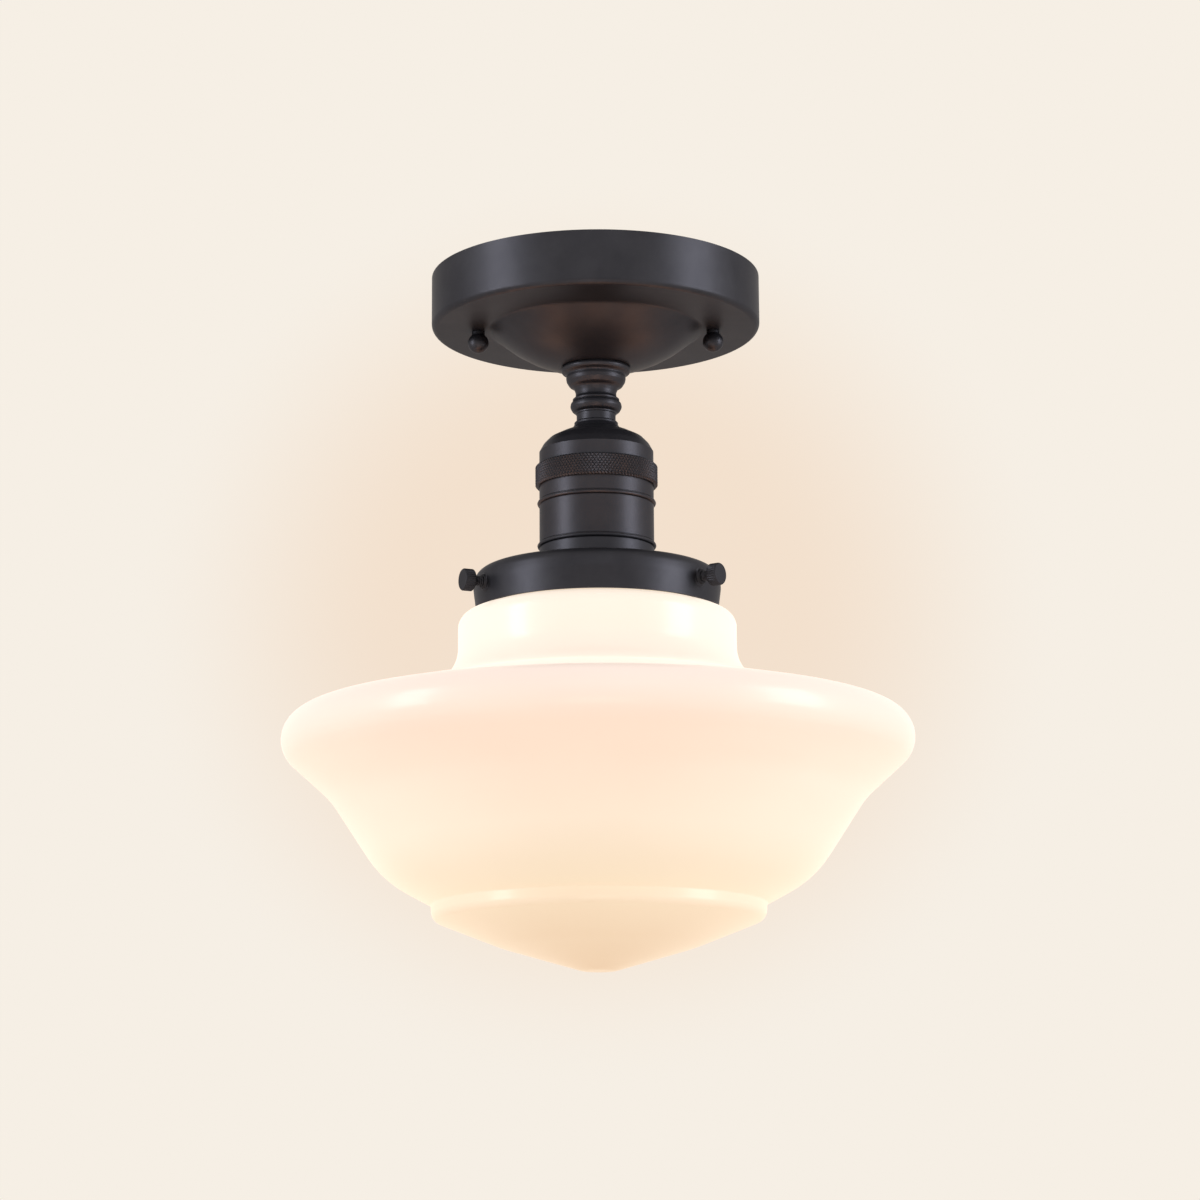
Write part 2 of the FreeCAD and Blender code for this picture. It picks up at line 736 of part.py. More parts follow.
# ---------------------------------------------------------------- lampholder
def make_socket_cap():
    """Domed cap with a threaded hub for the nipple and a threaded skirt for the ring."""
    dome_top = -dim.cap_ring_height
    band_top = dome_top - dim.cap_dome_height
    band_foot = band_top - dim.cap_band_height
    skirt_foot = band_foot - dim.cap_skirt_height
    bore = dim.nipple_radius + dim.seat
    skirt_inside = dim.cap_skirt_radius - dim.cap_skirt_wall
    turned("socket_cap", [
        (bore, ZERO),
        (dim.cap_ring_radius, ZERO, dim.cap_ring_round),
        (dim.cap_ring_radius, dome_top),
        (dim.cap_ring_radius, dome_top - dim.cap_cove_drop, dim.cap_cove_round),
        (dim.cap_brow_radius, band_top + dim.cap_brow_rise, dim.cap_brow_round),
        (dim.shell_radius, band_top),
        (dim.shell_radius, band_foot),
        (dim.cap_skirt_radius, band_foot),
        (dim.cap_skirt_radius, skirt_foot),
        (skirt_inside, skirt_foot),
        (skirt_inside, band_top + dim.cap_hollow_rise, dim.cap_hollow_rise),
        (dim.cap_hub_radius, -dim.cap_hub_depth),
        (bore, -dim.cap_hub_depth),
    ], -cap_level)


def make_knurled_ring():
    """Union ring that screws on the cap's skirt and draws the shell's flange up to it."""
    thread = dim.cap_skirt_radius + dim.slip
    counterbore = dim.shell_flange_radius + dim.slip
    lip = dim.shell_radius + dim.slip
    lip_top = -(dim.ring_height - dim.ring_lip_height)
    flange_top = lip_top + dim.shell_flange_height + dim.slip * 2
    turned("knurled_ring", [
        (thread, ZERO),
        (dim.ring_radius - dim.ring_chamfer, ZERO),
        (dim.ring_radius, -dim.ring_chamfer),
        (dim.ring_radius, -(dim.ring_height - dim.ring_chamfer)),
        (dim.ring_radius - dim.ring_chamfer, -dim.ring_height),
        (lip, -dim.ring_height),
        (lip, lip_top),
        (counterbore, lip_top),
        (counterbore, flange_top),
        (thread, flange_top),
    ], -ring_level)


def make_socket_shell():
    """Drawn shell with a clamped flange, two rolled beads and a lip at its foot."""
    flange_foot = -dim.shell_flange_height
    foot = -dim.shell_height
    inside = dim.shell_radius - dim.shell_wall
    outline = [(inside, ZERO), (dim.shell_flange_radius, ZERO),
               (dim.shell_flange_radius, flange_foot), (dim.shell_radius, flange_foot)]
    for drop in (dim.upper_bead_drop, dim.lower_bead_drop):
        outline += [
            (dim.shell_radius, -drop + dim.bead_width / 2),
            (dim.bead_radius, -drop + dim.bead_width / 2, dim.bead_round),
            (dim.bead_radius, -drop - dim.bead_width / 2, dim.bead_round),
            (dim.shell_radius, -drop - dim.bead_width / 2)]
    outline += [(dim.shell_radius, foot), (dim.shell_lip_radius, foot),
                (dim.shell_lip_radius, foot + dim.shell_wall), (inside, foot + dim.shell_wall)]
    turned("socket_shell", outline, -shell_level)


def make_lampholder_body():
    """Porcelain body: shoulder on the shell's lip, threaded nose, bore for the bulb cap."""
    foot = -dim.holder_body_height
    nose_foot = foot - dim.holder_nose_length
    bore_top = nose_foot + dim.socket_bore_depth
    body = turned("lampholder_body", [
        (ZERO, ZERO),
        (dim.holder_body_radius, ZERO),
        (dim.holder_body_radius, foot),
        (dim.holder_nose_radius, foot),
        (dim.holder_nose_radius, nose_foot),
        (dim.socket_bore_radius, nose_foot),
        (dim.socket_bore_radius, bore_top),
        (ZERO, bore_top),
    ], -body_level)
    doc.recompute()
    hole = dim.rivet_radius + dim.seat
    pocket_circles(body, "terminal_holes", "XY_Plane", [
        (ZERO, ZERO, hole), (dim.terminal_offset, ZERO, hole), (-dim.terminal_offset, ZERO, hole)])


def make_socket_contacts():
    """Screw shell, centre contact, terminal plates and terminal screws."""
    bore_level = nose_end - dim.socket_bore_depth
    outer = dim.socket_bore_radius - dim.slip
    inner = outer - dim.screw_shell_wall
    turned("screw_shell", [
        (dim.screw_shell_mouth_radius, ZERO),
        (outer, ZERO),
        (outer, -dim.screw_shell_height),
        (inner, -dim.screw_shell_height),
        (inner, -dim.screw_shell_wall),
        (dim.screw_shell_mouth_radius, -dim.screw_shell_wall),
    ], -(bore_level + dim.seat))
    rivet_rise = bore_level - body_level
    turned("centre_contact", [
        (ZERO, rivet_rise),
        (dim.rivet_radius, rivet_rise),
        (dim.rivet_radius, -dim.seat),
        (dim.contact_radius, -dim.seat),
        (dim.contact_radius, -(dim.contact_thickness + dim.seat)),
        (ZERO, -(dim.contact_thickness + dim.seat)),
    ], -bore_level)
    plate_length = dim.terminal_offset + dim.terminal_head_radius
    make_terminal_plate("hot_terminal", plate_length, plate_length / 2, dim.terminal_offset)
    short_length = dim.terminal_head_radius * 2
    make_terminal_plate("neutral_terminal", short_length, -dim.terminal_offset,
                        -dim.terminal_offset)
    pair("terminal_screws", make_terminal_screw, dim.terminal_offset)


def make_terminal_plate(name, length, middle, hole):
    """Brass strip on the porcelain with a hole for its screw."""
    body = new_body(name)
    pad(body, name + "_strip", "XY_Plane",
        rectangle_corners(length, dim.terminal_width, x=middle), dim.terminal_thickness)
    doc.recompute()
    pocket_circles(body, name + "_hole", "XY_Plane",
                   [(hole, ZERO, dim.rivet_radius + dim.seat)], reverse=True)
    place(body, z=-(body_level - dim.seat))


def make_terminal_screw(name, x):
    """Cheese-head screw through a terminal plate."""
    body = turned(name, [
        (ZERO, dim.terminal_head_height),
        (dim.terminal_head_radius, dim.terminal_head_height, dim.terminal_head_round),
        (dim.terminal_head_radius, ZERO),
        (dim.rivet_radius, ZERO),
        (dim.rivet_radius, -dim.terminal_screw_length),
        (ZERO, -dim.terminal_screw_length),
    ], -(body_level - dim.terminal_thickness - dim.seat * 2))
    body.setExpression("Placement.Base.x", x.formula)
    return body


# ---------------------------------------------------------------- shade holder and screws
def make_shade_holder():
    """Spun three-screw fitter with a tapped collar at each thumb screw."""
    outside = [
        (dim.holder_nose_radius + dim.slip, ZERO),
        (dim.fitter_boss_radius, ZERO, dim.fitter_boss_round),
        (dim.fitter_shoulder_radius, -dim.fitter_shoulder_drop, dim.fitter_shoulder_round),
        (dim.fitter_radius, -dim.fitter_belly_drop, dim.fitter_belly_round),
        (dim.fitter_rim_radius, -dim.fitter_height),
    ]
    inside = inside_of(outside[::-1], -dim.fitter_wall)
    body = turned("shade_holder", outside + inside, -fitter_level)
    body.Placement.Rotation = Rotation(Vector(0, 0, 1), SCREW_AZIMUTHS["left"])
    doc.recompute()
    wall_middle = dim.fitter_radius - dim.screw_collar_root
    collar = screw_sketch(body, "screw_collar_sketch", wall_middle, dim.screw_collar_radius)
    collar_pad = body.newObject("PartDesign::Pad", "screw_collar")
    collar_pad.Profile = collar
    collar_pad.setExpression(
        "Length", (dim.fitter_radius + dim.screw_collar_rise - wall_middle).formula)
    repeat_thrice(body, collar_pad)
    hole = screw_sketch(body, "screw_hole_sketch", dim.neck_radius, dim.screw_radius + dim.seat)
    hole_cut = body.newObject("PartDesign::Pocket", "screw_hole")
    hole_cut.Profile = hole
    hole_cut.Type = "ThroughAll"
    hole_cut.Reversed = True
    repeat_thrice(body, hole_cut)


def screw_sketch(body, name, stand_off, radius):
    """A circle about the thumb screw's axis, on a plane this far out from the light's axis."""
    sketch = new_sketch(body, name, "YZ_Plane")
    sketch.AttachmentOffset = Placement(Vector(0, 0, stand_off.value), Rotation())
    sketch.setExpression("AttachmentOffset.Base.z", stand_off.formula)
    add_circle(sketch, ZERO, -dim.screw_drop, radius)
    return sketch


def repeat_thrice(body, feature):
    """Repeat a feature at the three thumb screws."""
    doc.recompute()
    pattern = body.newObject("PartDesign::PolarPattern", feature.Name + "_pattern")
    pattern.Originals = [feature]
    pattern.Axis = ([item for item in body.Origin.OriginFeatures if item.Role == "Z_Axis"][0], [""])
    pattern.Angle = 360
    pattern.Occurrences = len(SCREW_AZIMUTHS)
    body.Tip = pattern
    doc.recompute()


def make_lock_ring():
    """Threaded ring that clamps the holder up against the shell's foot."""
    turned("holder_lock_ring",
           tube_corners(dim.lock_ring_radius, dim.holder_nose_radius + dim.slip,
                        dim.lock_ring_height), -lock_ring_level)


def make_thumb_screw(side, azimuth):
    """Thumb screw with a round head; its tip bears on the glass neck."""
    tip = dim.neck_radius + dim.slip
    head_back = dim.screw_head_back - tip
    head_face = head_back + dim.screw_head_length
    chamfer = dim.screw_head_chamfer
    body = turned("thumb_screw_" + side, [
        (ZERO, ZERO),
        (dim.screw_radius, ZERO),
        (dim.screw_radius, head_back),
        (dim.screw_head_radius - chamfer, head_back),
        (dim.screw_head_radius, head_back + chamfer),
        (dim.screw_head_radius, head_face - chamfer),
        (dim.screw_head_radius - chamfer, head_face),
        (ZERO, head_face),
    ], -screw_level)
    outward = Vector(math.cos(math.radians(azimuth)), math.sin(math.radians(azimuth)), 0)
    body.Placement = Placement(Vector(0, 0, 0), Rotation(Vector(0, 0, 1), outward))
    for axis, size in (("x", tip * outward.x), ("y", tip * outward.y), ("z", -screw_level)):
        body.setExpression("Placement.Base." + axis, size.formula)


# ---------------------------------------------------------------- glass shade and bulb
def make_glass_shade():
    """Schoolhouse shade blown in one piece: lipped fitter, gallery, brow, waist and step."""
    neck_top = -dim.lip_height
    neck_foot = -dim.neck_foot_drop
    shoulder = neck_foot - dim.shoulder_drop
    gallery = shoulder - dim.gallery_drop
    brow = gallery - dim.brow_drop
    waist = brow - dim.waist_drop
    hip = waist - dim.hip_drop
    step = hip - dim.step_drop
    band = step - dim.band_drop
    cone = band - dim.cone_drop
    nose = cone - dim.nose_drop
    outside = [
        (dim.lip_radius, ZERO, dim.lip_round),
        (dim.lip_radius, neck_top, dim.lip_round),
        (dim.neck_radius, neck_top - dim.lip_round),
        (dim.neck_radius, neck_foot, dim.neck_foot_round),
        (dim.shoulder_radius, shoulder, dim.shoulder_round),
        (dim.shoulder_radius, gallery, dim.gallery_round),
        (dim.brow_radius, brow, dim.brow_round),
        (dim.waist_radius, waist, dim.waist_round),
        (dim.hip_radius, hip, dim.hip_round),
        (dim.step_radius, step, dim.step_round),
        (dim.band_radius, band, dim.band_round),
        (dim.cone_radius, cone, dim.cone_round),
        (dim.nose_radius, nose, dim.nose_round),
        (ZERO, nose),
    ]
    inside = inside_of(outside[2:], dim.glass_wall)
    inside = [(dim.neck_radius - dim.glass_wall, ZERO)] + inside
    turned("glass_shade", outside + inside[::-1], -glass_level)


def make_bulb():
    """Frosted bulb: contact, insulator, threaded cap and blown globe."""
    tip = nose_end - dim.socket_bore_depth + dim.contact_thickness + dim.seat + dim.bulb_tip_gap
    insulator_top = dim.bulb_contact_height
    cap_top = insulator_top + dim.bulb_insulator_height
    cap_foot = cap_top + dim.bulb_cap_height
    globe_top = cap_foot + dim.seat
    turned("bulb_contact", [
        (ZERO, ZERO), (dim.bulb_contact_face, ZERO),
        (dim.bulb_contact_radius, -insulator_top), (ZERO, -insulator_top)], -tip)
    turned("bulb_insulator", [
        (ZERO, -insulator_top), (dim.bulb_contact_radius, -insulator_top),
        (dim.bulb_thread_radius - dim.bulb_cap_wall * 3, -cap_top), (ZERO, -cap_top)], -tip)
    turned("bulb_cap", [
        (ZERO, -cap_top),
        (dim.bulb_thread_radius, -cap_top, dim.bulb_cap_wall * 2),
        (dim.bulb_thread_radius, -cap_foot),
        (dim.bulb_thread_radius - dim.bulb_cap_wall, -cap_foot),
        (dim.bulb_thread_radius - dim.bulb_cap_wall, -(cap_top + dim.bulb_cap_wall)),
        (ZERO, -(cap_top + dim.bulb_cap_wall)),
    ], -tip)
    globe_outside = [
        (dim.bulb_thread_radius, -globe_top),
        (dim.bulb_neck_radius, -(globe_top + dim.bulb_neck_drop), dim.bulb_neck_round),
        (dim.bulb_radius, -(globe_top + dim.bulb_cheek_drop), dim.bulb_cheek_round),
        (dim.bulb_radius, -dim.bulb_length, dim.bulb_end_round),
        (ZERO, -dim.bulb_length),
    ]
    globe_inside = inside_of(globe_outside, dim.bulb_wall)
    turned("bulb_globe", globe_outside + globe_inside[::-1], -tip)


# ---------------------------------------------------------------- leads and wire nuts
def make_leads():
    """Hot and neutral leads up the nipple, the ground lead, and their wire nuts."""
    terminal_z = -(body_level - dim.terminal_thickness - dim.lead_radius - dim.slip).value
    start = (dim.terminal_offset - dim.terminal_head_radius - dim.seat).value
    rise_x = dim.lead_offset.value
    loft_z = -dim.lead_level.value
    reach = dim.lead_reach.value
    bend = dim.lead_bend.value
    for name, side in (("hot_lead", 1), ("neutral_lead", -1)):
        lead(name, [
            Vector(side * start, 0, terminal_z),
            Vector(side * rise_x, 0, terminal_z),
            Vector(side * rise_x, 0, loft_z),
            Vector(side * rise_x, side * reach, loft_z)], min(bend, (start - rise_x) * 0.9))
    screw_side = dim.ground_head_flats.value / 2 + dim.lead_radius.value + dim.seat.value
    screw_z = -(dim.bracket_thickness + dim.lead_radius + dim.slip).value
    nut_x = dim.ground_nut_x.value
    half_reach = reach / 2
    lead("ground_lead", [
        Vector(dim.ground_screw_offset.value - bend, -screw_side, screw_z),
        Vector(nut_x, -screw_side, screw_z),
        Vector(nut_x, -half_reach, loft_z),
        Vector(nut_x, -reach, loft_z)], dim.ground_lead_bend.value)
    turned_nut("hot_wire_nut", dim.lead_offset, 1)
    turned_nut("neutral_wire_nut", -dim.lead_offset, -1)
    turned_nut("ground_wire_nut", dim.ground_nut_x, -1)


def turned_nut(name, x, heading):
    """Tapered wire nut on the end of a lead, lying along Y."""
    body = turned(name, [
        (dim.lead_radius + dim.slip, ZERO),
        (dim.wire_nut_radius, ZERO, dim.wire_nut_round),
        (dim.wire_nut_tip_radius, dim.wire_nut_length, dim.wire_nut_tip_round),
        (ZERO, dim.wire_nut_length),
        (ZERO, dim.wire_nut_bore),
        (dim.lead_radius + dim.slip, dim.wire_nut_bore),
    ], -dim.lead_level)
    mouth_y = (dim.lead_reach - dim.wire_nut_bore + dim.wire_end_gap) * heading
    body.Placement = Placement(Vector(0, 0, 0), Rotation(Vector(0, 0, 1), Vector(0, heading, 0)))
    for axis, size in (("x", x), ("y", mouth_y), ("z", -dim.lead_level)):
        body.setExpression("Placement.Base." + axis, size.formula)


def make_light():
    """Build every sub-part of the light."""
    make_cross_bracket()
    make_ground_screw()
    half_stud_spacing = dim.stud_spacing / 2
    pair("canopy_studs", make_stud, half_stud_spacing)
    pair("stud_lock_nuts", make_stud_nut, half_stud_spacing)
    make_canopy_knob("canopy_knob_right", half_stud_spacing)
    make_canopy_knob("canopy_knob_left", -half_stud_spacing)
    make_canopy()
    make_nipple_parts()
    make_turned_stem()
    make_socket_cap()
    make_knurled_ring()
    make_socket_shell()
    make_lampholder_body()
    make_socket_contacts()
    make_shade_holder()
    make_lock_ring()
    for side, azimuth in SCREW_AZIMUTHS.items():
        make_thumb_screw(side, azimuth)
    make_glass_shade()
    make_bulb()
    make_leads()


def check_and_write():
    """Check every object and write each sub-part's solids to its own file."""
    doc.recompute()
    for item in doc.Objects:
        if "Invalid" in item.State or "Error" in item.State:
            raise ValueError("%s failed: %s" % (item.Name, item.State))
    os.makedirs("parts", exist_ok=True)
    for sub_part in SUB_PARTS:
        shape = sub_part.Shape
        if shape.isNull() or not shape.isValid() or not shape.Solids:
            raise ValueError("%s has no valid solid" % sub_part.Label)
        shape.exportStep(os.path.join("parts", sub_part.Label + ".step"))
        box = shape.BoundBox
        print("%-22s %d solids  volume %9.1f  x %.1f..%.1f  y %.1f..%.1f  z %.1f..%.1f" % (
            sub_part.Label, len(shape.Solids), shape.Volume, box.XMin, box.XMax,
            box.YMin, box.YMax, box.ZMin, box.ZMax))


make_light()
check_and_write()
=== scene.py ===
"""Looks of the semi flush ceiling light: matt black metalwork over a lit opal glass shade.

Outlines, threads and the other sizes of pieces are in millimetres. An outline is a list of
(radius, height) corners with an optional rounding. Its heights are measured from the top of
the node that it stands for, or along a thumb screw from its tip, and along a wire nut from
its mouth. The camera, the lamps and the backdrop are placed in metres.
"""
import json
import math

import bmesh
import bpy
from mathutils import Matrix, Vector


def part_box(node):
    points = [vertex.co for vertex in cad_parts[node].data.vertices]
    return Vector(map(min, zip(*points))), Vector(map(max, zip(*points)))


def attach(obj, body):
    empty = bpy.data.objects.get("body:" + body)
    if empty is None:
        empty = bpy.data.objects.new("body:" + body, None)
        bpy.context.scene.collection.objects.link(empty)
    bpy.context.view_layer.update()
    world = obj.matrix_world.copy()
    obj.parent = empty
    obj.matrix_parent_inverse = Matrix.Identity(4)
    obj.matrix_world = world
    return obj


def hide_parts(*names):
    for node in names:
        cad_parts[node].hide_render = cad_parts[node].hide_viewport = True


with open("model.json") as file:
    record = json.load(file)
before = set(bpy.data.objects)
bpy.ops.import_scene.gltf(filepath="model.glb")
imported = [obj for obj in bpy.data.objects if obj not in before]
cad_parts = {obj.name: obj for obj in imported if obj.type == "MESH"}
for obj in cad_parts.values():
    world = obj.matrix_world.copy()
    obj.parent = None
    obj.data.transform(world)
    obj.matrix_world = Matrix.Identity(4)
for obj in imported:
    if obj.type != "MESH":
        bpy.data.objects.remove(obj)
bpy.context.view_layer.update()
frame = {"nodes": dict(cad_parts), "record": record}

scene = bpy.context.scene
MM = 0.001
RING_STEPS = 224
FINE_STEPS = 96
SHADE_STEPS = 288
GLOBE_STEPS = 128
GRIP_STEPS = 128
NIPPLE_STEPS = 48
STUD_STEPS = 40
SIDES = (("left", -1), ("right", 1))
SCREW_AZIMUTHS = {"left": -154.5, "right": -34.5, "rear": 85.5}


# ---------------------------------------------------------------- camera
LENS = 99.0
SENSOR = 36.0
CAMERA_PLACE = (0.0011, -1.2776, -0.3940)
PITCH = math.radians(11.6)
ROLL = math.radians(-0.35)
camera_data = bpy.data.cameras.new("camera")
camera_data.lens = LENS
camera_data.sensor_width = SENSOR
camera = bpy.data.objects.new("camera", camera_data)
scene.collection.objects.link(camera)
camera.matrix_world = (Matrix.Translation(CAMERA_PLACE)
                       @ Matrix.Rotation(math.radians(90) + PITCH, 4, "X")
                       @ Matrix.Rotation(ROLL, 4, "Z"))
scene.camera = camera
scene.view_settings.view_transform = "Standard"


# ---------------------------------------------------------------- materials
def new_material(name, base, roughness, metallic=0.0):
    """A principled material and its shader."""
    material = bpy.data.materials.new(name)
    material.use_nodes = True
    shader = material.node_tree.nodes["Principled BSDF"]
    shader.inputs["Base Color"].default_value = (*base, 1.0)
    shader.inputs["Roughness"].default_value = roughness
    shader.inputs["Metallic"].default_value = metallic
    material.diffuse_color = (*base, 1.0)
    return material, shader


def noise(tree, scale, stretch=(1, 1, 1), **settings):
    """A noise texture that is fixed to the piece. A larger scale is a finer noise."""
    nodes, links = tree.nodes, tree.links
    coordinates = nodes.new("ShaderNodeTexCoord")
    mapping = nodes.new("ShaderNodeMapping")
    mapping.inputs["Scale"].default_value = stretch
    texture = nodes.new("ShaderNodeTexNoise")
    texture.inputs["Scale"].default_value = scale
    for key, value in settings.items():
        texture.inputs[key].default_value = value
    links.new(coordinates.outputs["Object"], mapping.inputs["Vector"])
    links.new(mapping.outputs["Vector"], texture.inputs["Vector"])
    return texture


def ramp(tree, source, stops):
    """A colour ramp over an output of a node. Stops are (position, colour)."""
    node = tree.nodes.new("ShaderNodeValToRGB")
    node.color_ramp.elements[0].position = stops[0][0]
    node.color_ramp.elements[0].color = (*stops[0][1], 1.0)
    node.color_ramp.elements[1].position = stops[-1][0]
    node.color_ramp.elements[1].color = (*stops[-1][1], 1.0)
    for position, colour in stops[1:-1]:
        node.color_ramp.elements.new(position).color = (*colour, 1.0)
    tree.links.new(source, node.inputs["Fac"])
    return node


def vary_roughness(tree, shader, texture, low, high):
    """Let a texture move the roughness between two values."""
    spread = tree.nodes.new("ShaderNodeMapRange")
    spread.inputs["To Min"].default_value = low
    spread.inputs["To Max"].default_value = high
    tree.links.new(texture.outputs[0], spread.inputs["Value"])
    tree.links.new(spread.outputs["Result"], shader.inputs["Roughness"])


def add_bump(tree, shader, height, depth_mm):
    """Raise a height of 0 to 1 by a depth in millimetres."""
    bump = tree.nodes.new("ShaderNodeBump")
    bump.inputs["Strength"].default_value = 1.0
    bump.inputs["Distance"].default_value = depth_mm * MM
    tree.links.new(height, bump.inputs["Height"])
    tree.links.new(bump.outputs["Normal"], shader.inputs["Normal"])


def grained(name, dark, light, roughness, grain, depth_mm, metallic=0.0, spread=0.05,
            stretch=(1, 1, 1)):
    """A finish whose colour, gloss and surface vary with a fine grain."""
    material, shader = new_material(name, light, roughness, metallic)
    tree = material.node_tree
    cloud = noise(tree, 60.0, stretch, Detail=4.0, Roughness=0.6)
    colour = ramp(tree, cloud.outputs[0], [(0.3, dark), (0.7, light)])
    tree.links.new(colour.outputs["Color"], shader.inputs["Base Color"])
    fine = noise(tree, grain, stretch, Detail=3.0, Roughness=0.55)
    vary_roughness(tree, shader, fine, roughness - spread, roughness + spread)
    add_bump(tree, shader, fine.outputs[0], depth_mm)
    return material


def matt_black():
    """Matt blackened metal: a cool charcoal that stays dark at its edges, with a fine grain."""
    material = grained("matt_black", dark=(0.034, 0.034, 0.041), light=(0.044, 0.044, 0.052),
                       roughness=0.42, grain=1900.0, depth_mm=0.014, metallic=0.72,
                       spread=0.04)
    shader = material.node_tree.nodes["Principled BSDF"]
    shader.inputs["Specular IOR Level"].default_value = 0.20
    shader.inputs["Specular Tint"].default_value = (0.50, 0.50, 0.52, 1.0)
    return material


# the light that the glass gives off, by the share of the shade's height
GLASS_GLOW = [
    (0.00, (0.56, 0.36, 0.18)),
    (0.12, (0.65, 0.47, 0.28)),
    (0.17, (0.67, 0.51, 0.32)),
    (0.30, (0.70, 0.55, 0.39)),
    (0.50, (0.70, 0.50, 0.36)),
    (0.62, (0.70, 0.55, 0.46)),
    (0.69, (0.68, 0.56, 0.46)),
    (0.74, (0.72, 0.58, 0.46)),
    (0.84, (0.75, 0.63, 0.50)),
    (1.00, (0.76, 0.64, 0.51)),
]
# the glass's own colour, by the cloudiness of its streaks
GLASS_MILK = [(0.35, (0.40, 0.37, 0.36)), (0.65, (0.44, 0.41, 0.40))]


def opal_glass():
    """Cased opal glass lit from inside: brightest at the neck, warmer towards the foot."""
    material, shader = new_material("opal_glass", (0.42, 0.39, 0.38), 0.30)
    tree = material.node_tree
    nodes, links = tree.nodes, tree.links
    shader.inputs["IOR"].default_value = 1.5
    shader.inputs["Specular IOR Level"].default_value = 0.20
    shader.inputs["Coat Weight"].default_value = 0.12
    shader.inputs["Coat Roughness"].default_value = 0.12
    shader.inputs["Emission Strength"].default_value = 1.0
    low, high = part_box("glass_shade")
    coordinates = nodes.new("ShaderNodeTexCoord")
    split = nodes.new("ShaderNodeSeparateXYZ")
    share = nodes.new("ShaderNodeMapRange")
    share.inputs["From Min"].default_value = low.z
    share.inputs["From Max"].default_value = high.z
    links.new(coordinates.outputs["Object"], split.inputs["Vector"])
    links.new(split.outputs["Z"], share.inputs["Value"])
    glow = ramp(tree, share.outputs["Result"], GLASS_GLOW)
    links.new(glow.outputs["Color"], shader.inputs["Emission Color"])
    streak = noise(tree, 9.0, (1, 1, 2.5), Detail=2.0)
    milk = ramp(tree, streak.outputs[0], GLASS_MILK)
    links.new(milk.outputs["Color"], shader.inputs["Base Color"])
    wave = noise(tree, 26.0, Detail=1.0)
    add_bump(tree, shader, wave.outputs[0], 0.06)
    return material


def frosted_bulb():
    """Frosted bulb glass with a warm glow."""
    material, shader = new_material("bulb_glass", (0.92, 0.88, 0.80), 0.32)
    shader.inputs["Emission Strength"].default_value = 1.0
    tree = material.node_tree
    frost = noise(tree, 1500.0, Detail=2.0)
    vary_roughness(tree, shader, frost, 0.28, 0.36)
    glow = ramp(tree, frost.outputs[0], [(0.3, (0.60, 0.48, 0.32)), (0.7, (0.64, 0.52, 0.36))])
    tree.links.new(glow.outputs["Color"], shader.inputs["Emission Color"])
    add_bump(tree, shader, frost.outputs[0], 0.01)
    return material


FINISHES = {
    "black_metal": matt_black(),
    "zinc_steel": grained(
        "zinc_steel", dark=(0.48, 0.49, 0.52), light=(0.66, 0.66, 0.68), roughness=0.34,
        grain=900.0, depth_mm=0.008, metallic=1.0, spread=0.08, stretch=(1, 6, 1)),
    "green_steel": grained(
        "green_steel", dark=(0.03, 0.22, 0.08), light=(0.05, 0.30, 0.12), roughness=0.38,
        grain=1200.0, depth_mm=0.006, metallic=0.7),
    "brass": grained(
        "brass", dark=(0.62, 0.42, 0.16), light=(0.78, 0.57, 0.25), roughness=0.28,
        grain=1100.0, depth_mm=0.006, metallic=1.0, spread=0.07),
    "nickel_plate": grained(
        "nickel_plate", dark=(0.62, 0.60, 0.57), light=(0.75, 0.73, 0.70), roughness=0.22,
        grain=1000.0, depth_mm=0.004, metallic=1.0),
    "porcelain": grained(
        "porcelain", dark=(0.86, 0.85, 0.81), light=(0.90, 0.89, 0.86), roughness=0.12,
        grain=300.0, depth_mm=0.010, metallic=0.0, spread=0.04),
    "black_phenolic": grained(
        "black_phenolic", dark=(0.022, 0.020, 0.019), light=(0.032, 0.030, 0.028),
        roughness=0.40, grain=1400.0, depth_mm=0.008),
    "opal_glass": opal_glass(),
    "bulb_glass": frosted_bulb(),
    "bulb_cap_metal": grained(
        "bulb_cap_metal", dark=(0.60, 0.60, 0.58), light=(0.72, 0.72, 0.70), roughness=0.30,
        grain=1200.0, depth_mm=0.006, metallic=1.0, spread=0.07),
    "black_insulation": grained(
        "black_insulation", dark=(0.018, 0.018, 0.018), light=(0.024, 0.024, 0.024),
        roughness=0.42, grain=1500.0, depth_mm=0.010),
    "white_insulation": grained(
        "white_insulation", dark=(0.80, 0.80, 0.77), light=(0.86, 0.86, 0.83), roughness=0.42,
        grain=1500.0, depth_mm=0.010),
    "green_insulation": grained(
        "green_insulation", dark=(0.04, 0.30, 0.10), light=(0.05, 0.36, 0.13), roughness=0.42,
        grain=1500.0, depth_mm=0.010),
    "orange_plastic": grained(
        "orange_plastic", dark=(0.78, 0.29, 0.04), light=(0.86, 0.34, 0.05), roughness=0.45,
        grain=1100.0, depth_mm=0.012),
    "green_plastic": grained(
        "green_plastic", dark=(0.04, 0.34, 0.12), light=(0.05, 0.41, 0.15), roughness=0.45,
        grain=1100.0, depth_mm=0.012),
}
SLOTS = {part["node"]: part["material_slot"] for part in frame["record"]["subparts"]}
for node, thing in frame["nodes"].items():
    thing.data.materials.clear()
    thing.data.materials.append(FINISHES[SLOTS[node]])
BODY_OF = {node: body for body, nodes in frame["record"]["behaviour"]["bodies"].items()
           for node in nodes}


# ---------------------------------------------------------------- mesh helpers
ARC_DEGREES = 7
ARC_LEAST = 4
ON_AXIS = 1e-6


